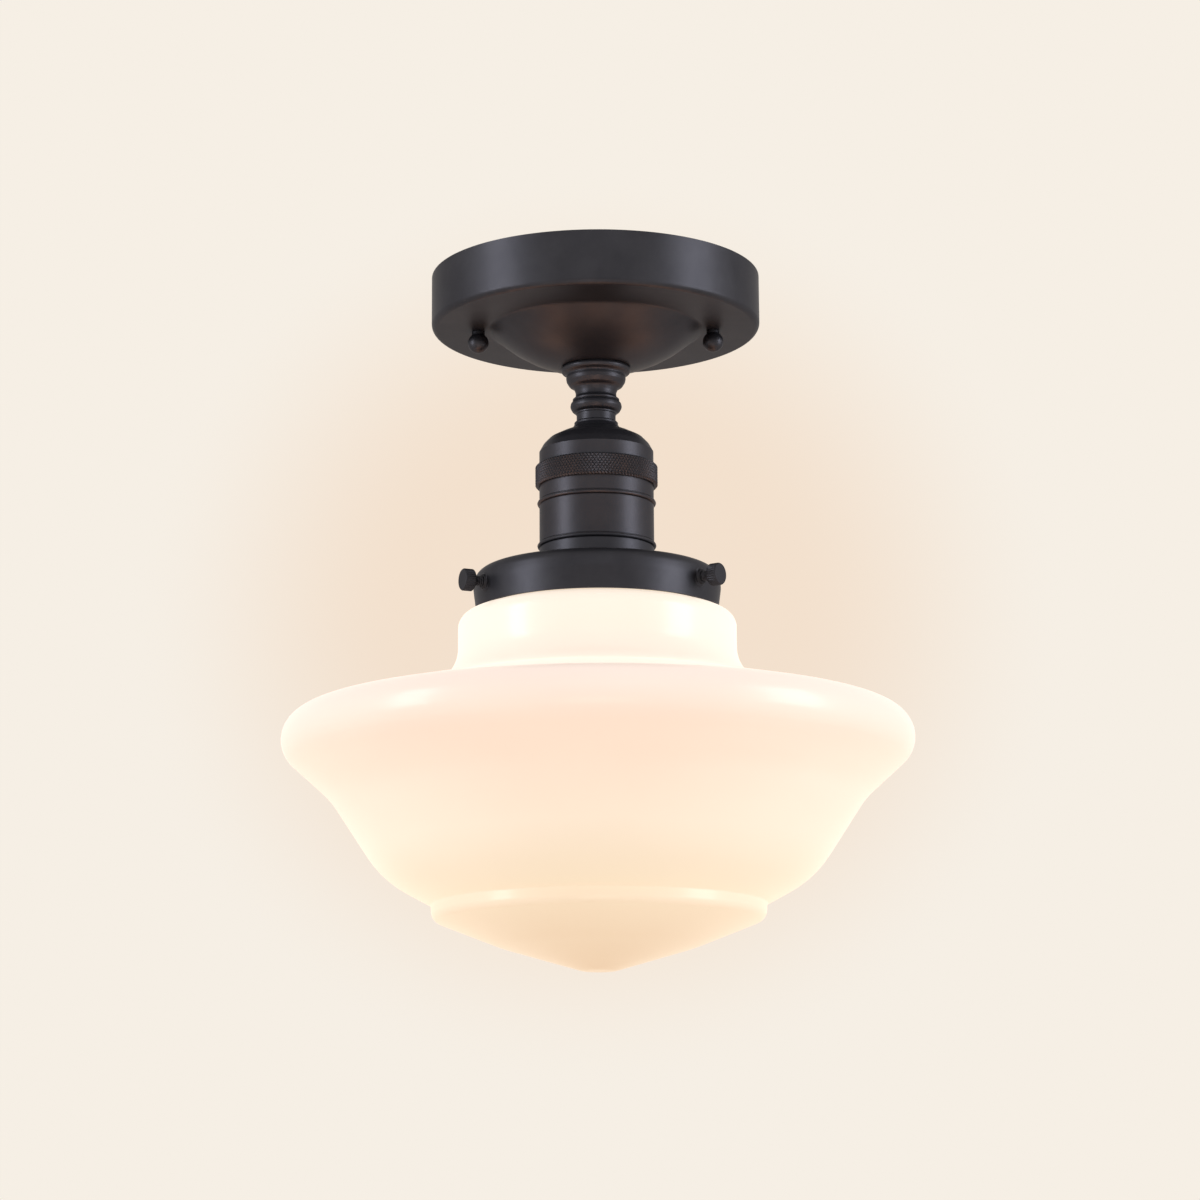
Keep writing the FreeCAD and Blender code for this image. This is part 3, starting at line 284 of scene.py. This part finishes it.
def rounded(corners):
    """Points along an open outline, with its roundings drawn as arcs."""
    points = []
    for i, corner in enumerate(corners):
        here = Vector(corner[:2])
        if len(corner) == 2:
            points.append(here)
            continue
        back = (Vector(corners[i - 1][:2]) - here).normalized()
        ahead = (Vector(corners[(i + 1) % len(corners)][:2]) - here).normalized()
        half = math.acos(max(-1.0, min(1.0, back.dot(ahead)))) / 2
        centre = here + (back + ahead).normalized() * corner[2] / math.sin(half)
        cut = corner[2] / math.tan(half)
        start, end = here + back * cut - centre, here + ahead * cut - centre
        steps = max(ARC_LEAST, math.ceil(math.degrees(math.pi - 2 * half) / ARC_DEGREES))
        for k in range(steps + 1):
            spoke = start.lerp(end, k / steps).normalized() * corner[2]
            points.append(centre + spoke)
    return points


def drawn_between(points, spacing):
    """The same outline with extra points, no further apart than spacing."""
    dense = [points[0]]
    for before, after in zip(points, points[1:]):
        pieces = max(1, math.ceil((after - before).length / spacing))
        dense += [before.lerp(after, k / pieces) for k in range(1, pieces + 1)]
    return dense


def rows(radius, start, step, count, first=1):
    """Outline points down a straight wall, close enough together to carry a thread."""
    return [(radius, start - step * k) for k in range(first, count)]


def add_corner(maker, radius, height, angle):
    """A vertex at a radius, a height and an angle about Z."""
    return maker.verts.new((radius * MM * math.cos(angle), radius * MM * math.sin(angle),
                            height * MM))


def made_into(name, maker):
    """The object in the scene that takes over a maker's faces, turned outwards."""
    mesh = bpy.data.meshes.new(name)
    bmesh.ops.recalc_face_normals(maker, faces=maker.faces[:])
    maker.to_mesh(mesh)
    maker.free()
    thing = bpy.data.objects.new(name, mesh)
    scene.collection.objects.link(thing)
    return thing


def revolve(name, points, steps=RING_STEPS, shape=None, closed=True, sharp=32.0):
    """Turn an outline about Z. shape(radius, height, angle) may change the radius."""
    maker = bmesh.new()
    rings = []
    for radius, height in points:
        if radius < ON_AXIS:
            rings.append([maker.verts.new((0, 0, height * MM))])
            continue
        ring = []
        for k in range(steps):
            angle = 2 * math.pi * k / steps
            ring.append(add_corner(maker, shape(radius, height, angle) if shape else radius,
                                   height, angle))
        rings.append(ring)
    following = rings[1:] + ([rings[0]] if closed else [])
    for ring, after in zip(rings, following):
        if len(ring) == 1 and len(after) == 1:
            continue
        for k in range(steps):
            nxt = (k + 1) % steps
            if len(ring) == 1:
                maker.faces.new((ring[0], after[k], after[nxt]))
            elif len(after) == 1:
                maker.faces.new((ring[k], after[0], ring[nxt]))
            else:
                maker.faces.new((ring[k], after[k], after[nxt], ring[nxt]))
    thing = made_into(name, maker)
    thing.data.shade_smooth()
    thing.data.set_sharp_from_angle(angle=math.radians(sharp))
    return thing


def dress(piece, node, move, stands_in=True):
    """Give a piece its place, its node's finish and its node's body."""
    piece.data.transform(move)
    piece.data.materials.append(FINISHES[SLOTS[node]])
    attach(piece, BODY_OF[node])
    if stands_in:
        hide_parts(node)


def top_of(node, x=0.0):
    """The move that puts an outline's zero height at the top of a node."""
    return Matrix.Translation((x, 0.0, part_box(node)[1].z))


def turned(name, node, corners, **options):
    """A turned piece that stands for a node on the light's axis."""
    dress(revolve(name, rounded(corners), **options), node, top_of(node))


def thread(pitch, depth, major, low=-math.inf, high=math.inf):
    """A screw thread, as a change of the outline's major radius between two heights."""
    def cut(radius, height, angle):
        if radius != major or not low < height < high:
            return radius
        turn = (height / pitch - angle / (2 * math.pi)) % 1.0
        return radius - depth * abs(2 * turn - 1)
    return cut


def flutes(count, depth, outer):
    """Straight flutes where the outline is within their depth of its outer radius."""
    def cut(radius, height, angle):
        wave = abs(2 * ((angle * count / (2 * math.pi)) % 1.0) - 1)
        return radius - depth * wave if radius > outer - depth else radius
    return cut


# ---------------------------------------------------------------- canopy and knobs
PAN = -21.5
SEAT = -36.7
DISH = PAN - 11.5
SHEET = 1.0
NIPPLE_RADIUS = 5.0
NIPPLE_HOLE = 5.1
turned("canopy_spinning", "canopy", [
    (64.8, 0.0), (65.8, 0.0), (65.8, PAN, 2.4), (42.4, PAN, 3.0), (28.9, DISH, 55.0),
    (13.8, SEAT), (NIPPLE_HOLE, SEAT), (NIPPLE_HOLE, SEAT + SHEET), (13.6, SEAT + SHEET),
    (28.3, DISH + SHEET, 54.0), (41.9, PAN + SHEET, 4.0), (64.8, PAN + SHEET, 1.4)])

KNOB_X = 47.15
KNOB_DROP = 4.6
KNOB_RADIUS = 4.15
KNOB_BORE = 2.1
KNOB_BORE_END = -6.9
ball = [(KNOB_BORE, 0.0), (2.45, 0.0), (2.6, -0.2), (2.6, -1.3, 0.3)]
ball += [(KNOB_RADIUS * math.cos(math.radians(a)),
          -KNOB_DROP + KNOB_RADIUS * math.sin(math.radians(a))) for a in range(48, -91, -6)]
ball += [(0.0, -KNOB_DROP - KNOB_RADIUS), (0.0, KNOB_BORE_END), (KNOB_BORE, KNOB_BORE_END)]
for side, sign in SIDES:
    node = "canopy_knob_" + side
    dress(revolve("ball_knob_" + side, rounded(ball), FINE_STEPS), node,
          top_of(node, sign * KNOB_X * MM))


# ---------------------------------------------------------------- stem
STEM_FOOT = -22.6
turned("stem_turning", "turned_stem", [
    (NIPPLE_HOLE, 0.0), (13.0, 0.0), (13.7, -0.3, 0.6), (14.0, -1.2, 0.9), (13.5, -2.3, 0.8),
    (12.1, -2.95, 0.5), (11.75, -3.5, 0.5), (11.95, -4.7, 1.6), (11.7, -6.0, 1.2),
    (10.6, -7.8, 1.6), (8.9, -8.6, 1.8), (8.1, -10.6, 2.2), (8.2, -12.6, 1.6),
    (9.3, -13.25, 0.15), (9.35, -14.0, 0.3), (8.9, -14.2, 0.1), (9.1, -14.4, 0.1),
    (10.0, -14.8, 1.0), (10.35, -16.5, 1.7), (9.4, -18.3, 1.6), (8.2, -18.8, 0.3),
    (8.1, -19.1), (8.1, -19.4, 0.15), (7.8, -19.6, 0.1), (7.8, STEM_FOOT),
    (NIPPLE_HOLE, STEM_FOOT)], sharp=38.0)


# ---------------------------------------------------------------- lampholder
DRUM_RADIUS = 22.75
BAND_TOP = -12.4
BAND_FOOT = -18.0
CAP_FOOT = -23.9
turned("cap_drawing", "socket_cap", [
    (5.05, 0.0), (8.3, 0.0, 0.2), (8.8, -0.5, 0.4), (8.6, -1.1, 0.25), (8.85, -1.5, 0.2),
    (9.7, -2.9, 1.6), (14.0, -4.7, 4.0), (18.6, -7.0, 3.5), (21.2, -9.7, 5.0),
    (22.55, BAND_TOP + 0.2, 0.2), (DRUM_RADIUS, BAND_TOP - 0.1), (DRUM_RADIUS, BAND_FOOT),
    (21.85, BAND_FOOT), (21.85, CAP_FOOT), (20.25, CAP_FOOT), (20.25, -12.2, 3.3),
    (15.0, -8.4, 4.0), (8.2, -6.0), (5.05, -6.0)])

RING_RADIUS = 24.4
RING_HEIGHT = 8.6
RING_CHAMFER = 0.75
RING_BORE = 21.95
KNURLS = 110
KNURL_ROWS = 7
KNURL_DEPTH = 0.42


def knurled_ring():
    """Union ring with a cut diamond knurl between its chamfers."""
    columns = 2 * KNURLS
    chamfered = RING_HEIGHT - 2 * RING_CHAMFER
    valley = RING_RADIUS - KNURL_DEPTH
    outline = [(RING_BORE, 0.0), (RING_RADIUS - RING_CHAMFER, 0.0)]
    outline += [(None, -RING_CHAMFER - chamfered * j / KNURL_ROWS)
                for j in range(KNURL_ROWS + 1)]
    outline += [(RING_RADIUS - RING_CHAMFER, -RING_HEIGHT), (22.85, -RING_HEIGHT),
                (22.85, -7.0), (23.5, -7.0), (23.5, -5.8), (RING_BORE, -5.8)]
    maker = bmesh.new()
    rings = []
    for j, (radius, height) in enumerate(outline):
        ring = []
        for k in range(columns):
            angle = 2 * math.pi * k / columns
            ring.append(add_corner(
                maker, radius or (RING_RADIUS if (j + k) % 2 else valley), height, angle))
        rings.append(ring)
    for j, ring in enumerate(rings):
        after = rings[(j + 1) % len(rings)]
        cut = outline[j][0] is None and outline[(j + 1) % len(outline)][0] is None
        for k in range(columns):
            nxt = (k + 1) % columns
            corners = (ring[k], after[k], after[nxt], ring[nxt])
            if not cut:
                maker.faces.new(corners)
            elif (j + k) % 2:
                maker.faces.new((corners[0], corners[1], corners[3]))
                maker.faces.new((corners[1], corners[2], corners[3]))
            else:
                maker.faces.new((corners[0], corners[1], corners[2]))
                maker.faces.new((corners[0], corners[2], corners[3]))
    dress(made_into("ring_knurling", maker), "knurled_ring", top_of("knurled_ring"))


knurled_ring()
GROOVE_RADIUS = 22.55
SHELL_BORE = 21.95
SHELL_FOOT = -32.5
SHELL_FLOOR = SHELL_FOOT + 0.8


def bead(drop):
    """A rolled bead with a fine groove above and below it."""
    return [(DRUM_RADIUS, 1.15 - drop), (GROOVE_RADIUS, 1.05 - drop),
            (GROOVE_RADIUS, 0.9 - drop), (23.35, 0.62 - drop, 0.3), (23.65, 0.0 - drop, 0.5),
            (23.35, -0.62 - drop, 0.3), (GROOVE_RADIUS, -0.9 - drop),
            (GROOVE_RADIUS, -1.05 - drop), (DRUM_RADIUS, -1.15 - drop)]


turned("shell_drawing", "socket_shell", [
    (SHELL_BORE, 0.0), (23.4, 0.0), (23.4, -1.0), (DRUM_RADIUS, -1.0), *bead(9.45),
    *bead(26.75), (DRUM_RADIUS, SHELL_FOOT, 0.4), (19.0, SHELL_FOOT), (19.0, SHELL_FLOOR),
    (SHELL_BORE, SHELL_FLOOR)])

NOSE_RADIUS = 18.6
NOSE_TOP = -30.3
porcelain = drawn_between(rounded([
    (0.0, 0.0), (21.6, 0.0, 1.2), (21.6, NOSE_TOP, 0.6), (NOSE_RADIUS, NOSE_TOP, 0.2)]), 30.0)
porcelain += rows(NOSE_RADIUS, NOSE_TOP, step=0.3, count=36)
porcelain += [(18.2, -41.3), (17.6, -41.5), (14.5, -41.5), (13.9, -41.0), (13.9, -12.7),
              (0.0, -12.7)]
dress(revolve("porcelain_glazing", porcelain, FINE_STEPS,
              thread(pitch=2.5, depth=0.55, major=NOSE_RADIUS, high=-30.4)),
      "lampholder_body", top_of("lampholder_body"))

LINING_RADIUS = 13.8
LINING_FOOT = -25.5
lining = [(8.0, 0.0), (LINING_RADIUS, 0.0)]
lining += rows(LINING_RADIUS, 0.0, step=0.4, count=63)
lining += [(LINING_RADIUS, LINING_FOOT), (13.45, LINING_FOOT), (13.45, -0.4), (8.0, -0.4)]
dress(revolve("screw_shell_rolling", lining, FINE_STEPS), "screw_shell",
      top_of("screw_shell"))


# ---------------------------------------------------------------- shade holder
turned("holder_spinning", "shade_holder", [
    (18.7, 0.0), (24.0, 0.0, 2.4), (48.0, -5.3, 5.0), (49.0, -11.5, 10.0), (47.8, -20.7),
    (46.6, -20.7), (47.7, -11.5, 8.8), (47.0, -6.3, 3.8), (23.9, -1.2, 3.6), (18.7, -1.2)])

COLLAR_BASE = 48.4
SCREW_TIP = 39.0
SCREW_RADIUS = 2.05
HEAD_BACK = 14.6
HEAD_FACE = 18.9
HEAD_RADIUS = 4.35
collar = [(2.15, -0.5), (4.2, -0.5), (3.9, 0.2, 0.2), (3.0, 0.5, 0.4), (2.85, 1.5, 0.3),
          (2.15, 1.6)]
screw = [(0.0, 0.0), (1.6, 0.0), (SCREW_RADIUS, 0.45)]
screw += rows(SCREW_RADIUS, 0.45, step=-0.12, count=118)
screw += [(SCREW_RADIUS, HEAD_BACK), (3.95, HEAD_BACK), (HEAD_RADIUS, HEAD_BACK + 0.35),
          (HEAD_RADIUS, HEAD_FACE - 0.4), (4.05, HEAD_FACE - 0.08), (3.95, HEAD_FACE),
          (0.0, HEAD_FACE)]
screw_thread = thread(pitch=0.8, depth=0.28, major=SCREW_RADIUS, high=HEAD_BACK)
screw_grip = flutes(count=32, depth=0.26, outer=HEAD_RADIUS)


def along_screw(azimuth, distance, height):
    """The move that turns +Z out along a thumb screw, from a distance off the light's axis."""
    turn = Matrix.Rotation(math.radians(azimuth), 4, "Z")
    return (turn @ Matrix.Translation((distance * MM, 0.0, height))
            @ Matrix.Rotation(math.radians(90), 4, "Y"))


screw_z = (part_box("thumb_screw_rear")[0].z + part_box("thumb_screw_rear")[1].z) / 2
for side, azimuth in SCREW_AZIMUTHS.items():
    dress(revolve("screw_collar_" + side, rounded(collar), FINE_STEPS), "shade_holder",
          along_screw(azimuth, COLLAR_BASE, screw_z), stands_in=False)
    dress(revolve("thumb_screw_turning_" + side, screw, GRIP_STEPS,
                  lambda r, z, a: screw_grip(screw_thread(r, z, a), z, a), closed=False),
          "thumb_screw_" + side, along_screw(azimuth, SCREW_TIP, screw_z))


# ---------------------------------------------------------------- glass shade
LIP = -3.6
NOSE = -156.9
outside = [
    (41.3, 0.0, 1.4), (41.3, LIP, 1.4), (38.9, LIP - 1.4, 0.6),
    (38.9, -15.6, 3.4), (54.9, -16.9, 5.8), (54.9, -43.2, 16.0), (135.6, -61.7, 10.8),
    (105.0, -89.4, 35.0), (84.5, -120.7, 40.0), (65.3, -131.2, 0.95), (64.8, -136.9, 3.8),
    (38.5, -147.35, 70.0), (6.4, NOSE, 12.0), (0.0, NOSE)]
inside = [
    (0.0, -153.7), (6.0, -153.7, 9.0), (37.8, -144.3, 57.0), (61.6, -134.6, 2.0),
    (62.2, -129.3, 2.0), (82.0, -118.6, 36.8), (102.2, -87.6, 38.2), (125.3, -62.6, 7.6),
    (51.7, -45.7, 19.2), (51.7, -19.9, 2.6), (35.7, -18.7, 6.6), (35.7, 0.0)]
turned("shade_blowing", "glass_shade", outside + inside, steps=SHADE_STEPS)


# ---------------------------------------------------------------- bulb
turned("bulb_tip", "bulb_contact", [
    (0.0, 0.0), (2.9, 0.0, 0.3), (4.8, -1.0), (0.0, -1.0)], steps=FINE_STEPS, closed=False)
turned("bulb_vitrite", "bulb_insulator", [
    (0.0, 0.0), (4.8, 0.0), (6.2, -0.8, 1.0), (12.0, -2.8), (0.0, -2.8)], steps=FINE_STEPS,
    closed=False)
CAP_RADIUS = 13.2
rolled = [(0.0, 0.0), (11.6, 0.0), (12.4, -0.4), (CAP_RADIUS, -1.2)]
rolled += rows(CAP_RADIUS, -1.2, step=0.3, count=63)
rolled += [(CAP_RADIUS, -21.6), (12.8, -21.6), (12.3, -1.5), (11.4, -0.5), (0.0, -0.5)]
dress(revolve("bulb_cap_rolling", rolled, FINE_STEPS,
              thread(pitch=3.63, depth=0.75, major=CAP_RADIUS, low=-20.1, high=-1.3)),
      "bulb_cap", top_of("bulb_cap"))
GLOBE_END = -81.95
turned("bulb_blowing", "bulb_globe", [
    (CAP_RADIUS, 0.0), (15.2, -13.9, 30.0), (30.0, -37.9, 24.0), (30.0, GLOBE_END, 29.7),
    (0.0, GLOBE_END), (0.0, GLOBE_END + 1.0), (29.0, GLOBE_END + 1.0, 28.7),
    (29.0, -38.2, 23.0), (14.2, -14.2, 31.0), (12.2, 0.0)], steps=GLOBE_STEPS)


# ---------------------------------------------------------------- under the canopy
NUT_RADIUS = 5.4
NUT_FLANGE = 2.4
NUT_LENGTH = 17.0
NUT_RIBS = 12
RIB_SHARE = 0.07
nut = drawn_between(rounded([
    (1.2, 0.0), (NUT_RADIUS - 0.6, 0.0, 0.3), (NUT_RADIUS - 0.4, NUT_FLANGE, 0.3),
    (3.0, NUT_LENGTH, 1.2), (0.0, NUT_LENGTH), (0.0, 9.0), (1.2, 9.0)]), 1.2)


def nut_ribs(radius, height, angle):
    """Ribs round a wire nut beyond its flange, which leave its wire hole alone."""
    if radius > 2.0 and height > NUT_FLANGE:
        return radius * (1 + RIB_SHARE * math.cos(NUT_RIBS * angle))
    return radius


for node, heading in (("hot_wire_nut", 1), ("neutral_wire_nut", -1), ("ground_wire_nut", -1)):
    low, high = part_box(node)
    mouth_y = low.y if heading > 0 else high.y
    dress(revolve(node + "_moulding", nut, FINE_STEPS, nut_ribs), node,
          Matrix.Translation(((low.x + high.x) / 2, mouth_y, (low.z + high.z) / 2))
          @ Matrix.Rotation(math.radians(-90 * heading), 4, "X"))

NIPPLE_END = -37.6
nipple = [(3.6, 0.0), (4.6, 0.0)]
nipple += rows(NIPPLE_RADIUS, 0.0, step=0.25, count=150)
nipple += [(4.6, NIPPLE_END), (3.6, NIPPLE_END)]
dress(revolve("nipple_threading", nipple, NIPPLE_STEPS,
              thread(pitch=0.94, depth=0.3, major=NIPPLE_RADIUS)),
      "threaded_nipple", top_of("threaded_nipple"))

STUD_RADIUS = 2.05
STUD_END = -28.1
stud = [(0.0, 0.0), (1.6, 0.0)]
stud += rows(STUD_RADIUS, 0.0, step=0.2, count=139, first=2)
stud += [(1.6, STUD_END), (0.0, STUD_END)]
for side, sign in SIDES:
    dress(revolve("stud_threading_" + side, stud, STUD_STEPS,
                  thread(pitch=0.8, depth=0.25, major=STUD_RADIUS), closed=False),
          "canopy_studs", top_of("canopy_studs", sign * KNOB_X * MM))


# ---------------------------------------------------------------- backdrop, floor and light
PALE = (0.921, 0.863, 0.783)
# painted halo: the warm glow of the lit shade on the backdrop, painted into its colour
PAINTED_HALO = (0.896, 0.748, 0.612)
PAINTED_HALO_CORE = 0.38
ROOM = (0.97, 0.98, 1.0)
ROOM_LEVEL = 0.28


def seen_directly(nodes, links, lit, shown):
    """Show one shader to the camera and to gloss and glass, and light the rest with another."""
    path = nodes.new("ShaderNodeLightPath")
    first = nodes.new("ShaderNodeMath")
    first.operation = "MAXIMUM"
    second = nodes.new("ShaderNodeMath")
    second.operation = "MAXIMUM"
    links.new(path.outputs["Is Camera Ray"], first.inputs[0])
    links.new(path.outputs["Is Glossy Ray"], first.inputs[1])
    links.new(first.outputs[0], second.inputs[0])
    links.new(path.outputs["Is Transmission Ray"], second.inputs[1])
    mix = nodes.new("ShaderNodeMixShader")
    links.new(second.outputs[0], mix.inputs["Fac"])
    links.new(lit, mix.inputs[1])
    links.new(shown, mix.inputs[2])
    return mix.outputs[0]


world = bpy.data.worlds.new("studio")
scene.world = world
world.use_nodes = True
nodes, links = world.node_tree.nodes, world.node_tree.links
room = nodes["Background"]
room.inputs["Color"].default_value = (*ROOM, 1.0)
room.inputs["Strength"].default_value = ROOM_LEVEL
sweep = nodes.new("ShaderNodeBackground")
sweep.inputs["Color"].default_value = (*PALE, 1.0)
links.new(seen_directly(nodes, links, room.outputs[0], sweep.outputs[0]),
          nodes["World Output"].inputs["Surface"])


def stage_sheet(name, size, place, turn, painted_halo_radius):
    """A flat sheet of the backdrop's colour with a painted halo, the lit shade's warm glow, in
    its middle.
    """
    mesh = bpy.data.meshes.new(name)
    half = size / 2
    mesh.from_pydata([(-half, -half, 0), (half, -half, 0), (half, half, 0), (-half, half, 0)],
                     [], [(0, 1, 2, 3)])
    sheet = bpy.data.objects.new(name, mesh)
    scene.collection.objects.link(sheet)
    sheet.matrix_world = Matrix.Translation(place) @ turn
    material, shader = new_material(name + "_paint", PALE, 0.9)
    tree = material.node_tree
    nodes, links = tree.nodes, tree.links
    coordinates = nodes.new("ShaderNodeTexCoord")
    distance = nodes.new("ShaderNodeVectorMath")
    distance.operation = "LENGTH"
    links.new(coordinates.outputs["Object"], distance.inputs[0])
    share = nodes.new("ShaderNodeMapRange")
    share.inputs["From Max"].default_value = painted_halo_radius
    links.new(distance.outputs["Value"], share.inputs["Value"])
    # painted light: the warm halo fades out from the middle to the backdrop's own colour
    tint = ramp(tree, share.outputs["Result"], [(0.0, PAINTED_HALO), (PAINTED_HALO_CORE, PAINTED_HALO), (1.0, PALE)])
    tint.color_ramp.interpolation = "EASE"
    glow = nodes.new("ShaderNodeEmission")
    links.new(tint.outputs["Color"], glow.inputs["Color"])
    links.new(seen_directly(nodes, links, shader.outputs[0], glow.outputs[0]),
              nodes["Material Output"].inputs["Surface"])
    mesh.materials.append(material)


stage_sheet("backdrop", 4.4, (0.0, 1.6, 0.18), Matrix.Rotation(math.radians(90), 4, "X"), 0.42)
# the floor's painted halo is too small to show
stage_sheet("floor", 7.0, (0.0, 0.0, -1.5), Matrix.Identity(4), 0.001)


def softbox(name, place, aim, width, height, watts, colour):
    """A rectangular lamp that faces a point."""
    data = bpy.data.lights.new(name, "AREA")
    data.shape = "RECTANGLE"
    data.size, data.size_y = width, height
    data.energy = watts
    data.color = colour
    lamp = bpy.data.objects.new(name, data)
    scene.collection.objects.link(lamp)
    facing = (Vector(place) - Vector(aim)).to_track_quat("Z", "Y").to_matrix().to_4x4()
    lamp.matrix_world = Matrix.Translation(place) @ facing
    return lamp


MIDDLE = (0.0, 0.0, -0.14)
CANOPY_EDGE = (0.0, 0.0, -0.03)
COOL = (0.95, 0.97, 1.0)
WARM = (1.0, 0.40, 0.14)
BOUNCE = (1.0, 0.80, 0.66)
softbox("left_softbox", (-1.45, -0.6, 0.1), MIDDLE,
        width=0.42, height=1.3, watts=15.0, colour=COOL)
softbox("right_softbox", (1.5, -0.5, 0.1), MIDDLE,
        width=0.65, height=1.3, watts=18.0, colour=COOL)
softbox("front_softbox", (0.0, -2.2, 0.9), MIDDLE,
        width=1.6, height=0.8, watts=2.0, colour=COOL)
softbox("low_fill", (0.0, -0.7, -0.62), CANOPY_EDGE,
        width=0.3, height=0.3, watts=0.7, colour=BOUNCE)

# small lamps above the holder stand for the shade's glow on the canopy
GLOWS = 6
GLOW_RADIUS = 0.060
GLOW_LEVEL = -0.111
GLOW_SIZE = 0.03
GLOW_WATTS = 0.010
for k in range(GLOWS):
    angle = 2 * math.pi * (k + 0.5) / GLOWS
    spot = (GLOW_RADIUS * math.cos(angle), GLOW_RADIUS * math.sin(angle), GLOW_LEVEL)
    lamp = softbox("shade_glow_%d" % k, spot, (spot[0], spot[1], 0.0),
                   GLOW_SIZE, GLOW_SIZE, GLOW_WATTS, WARM)
    lamp.visible_camera = False
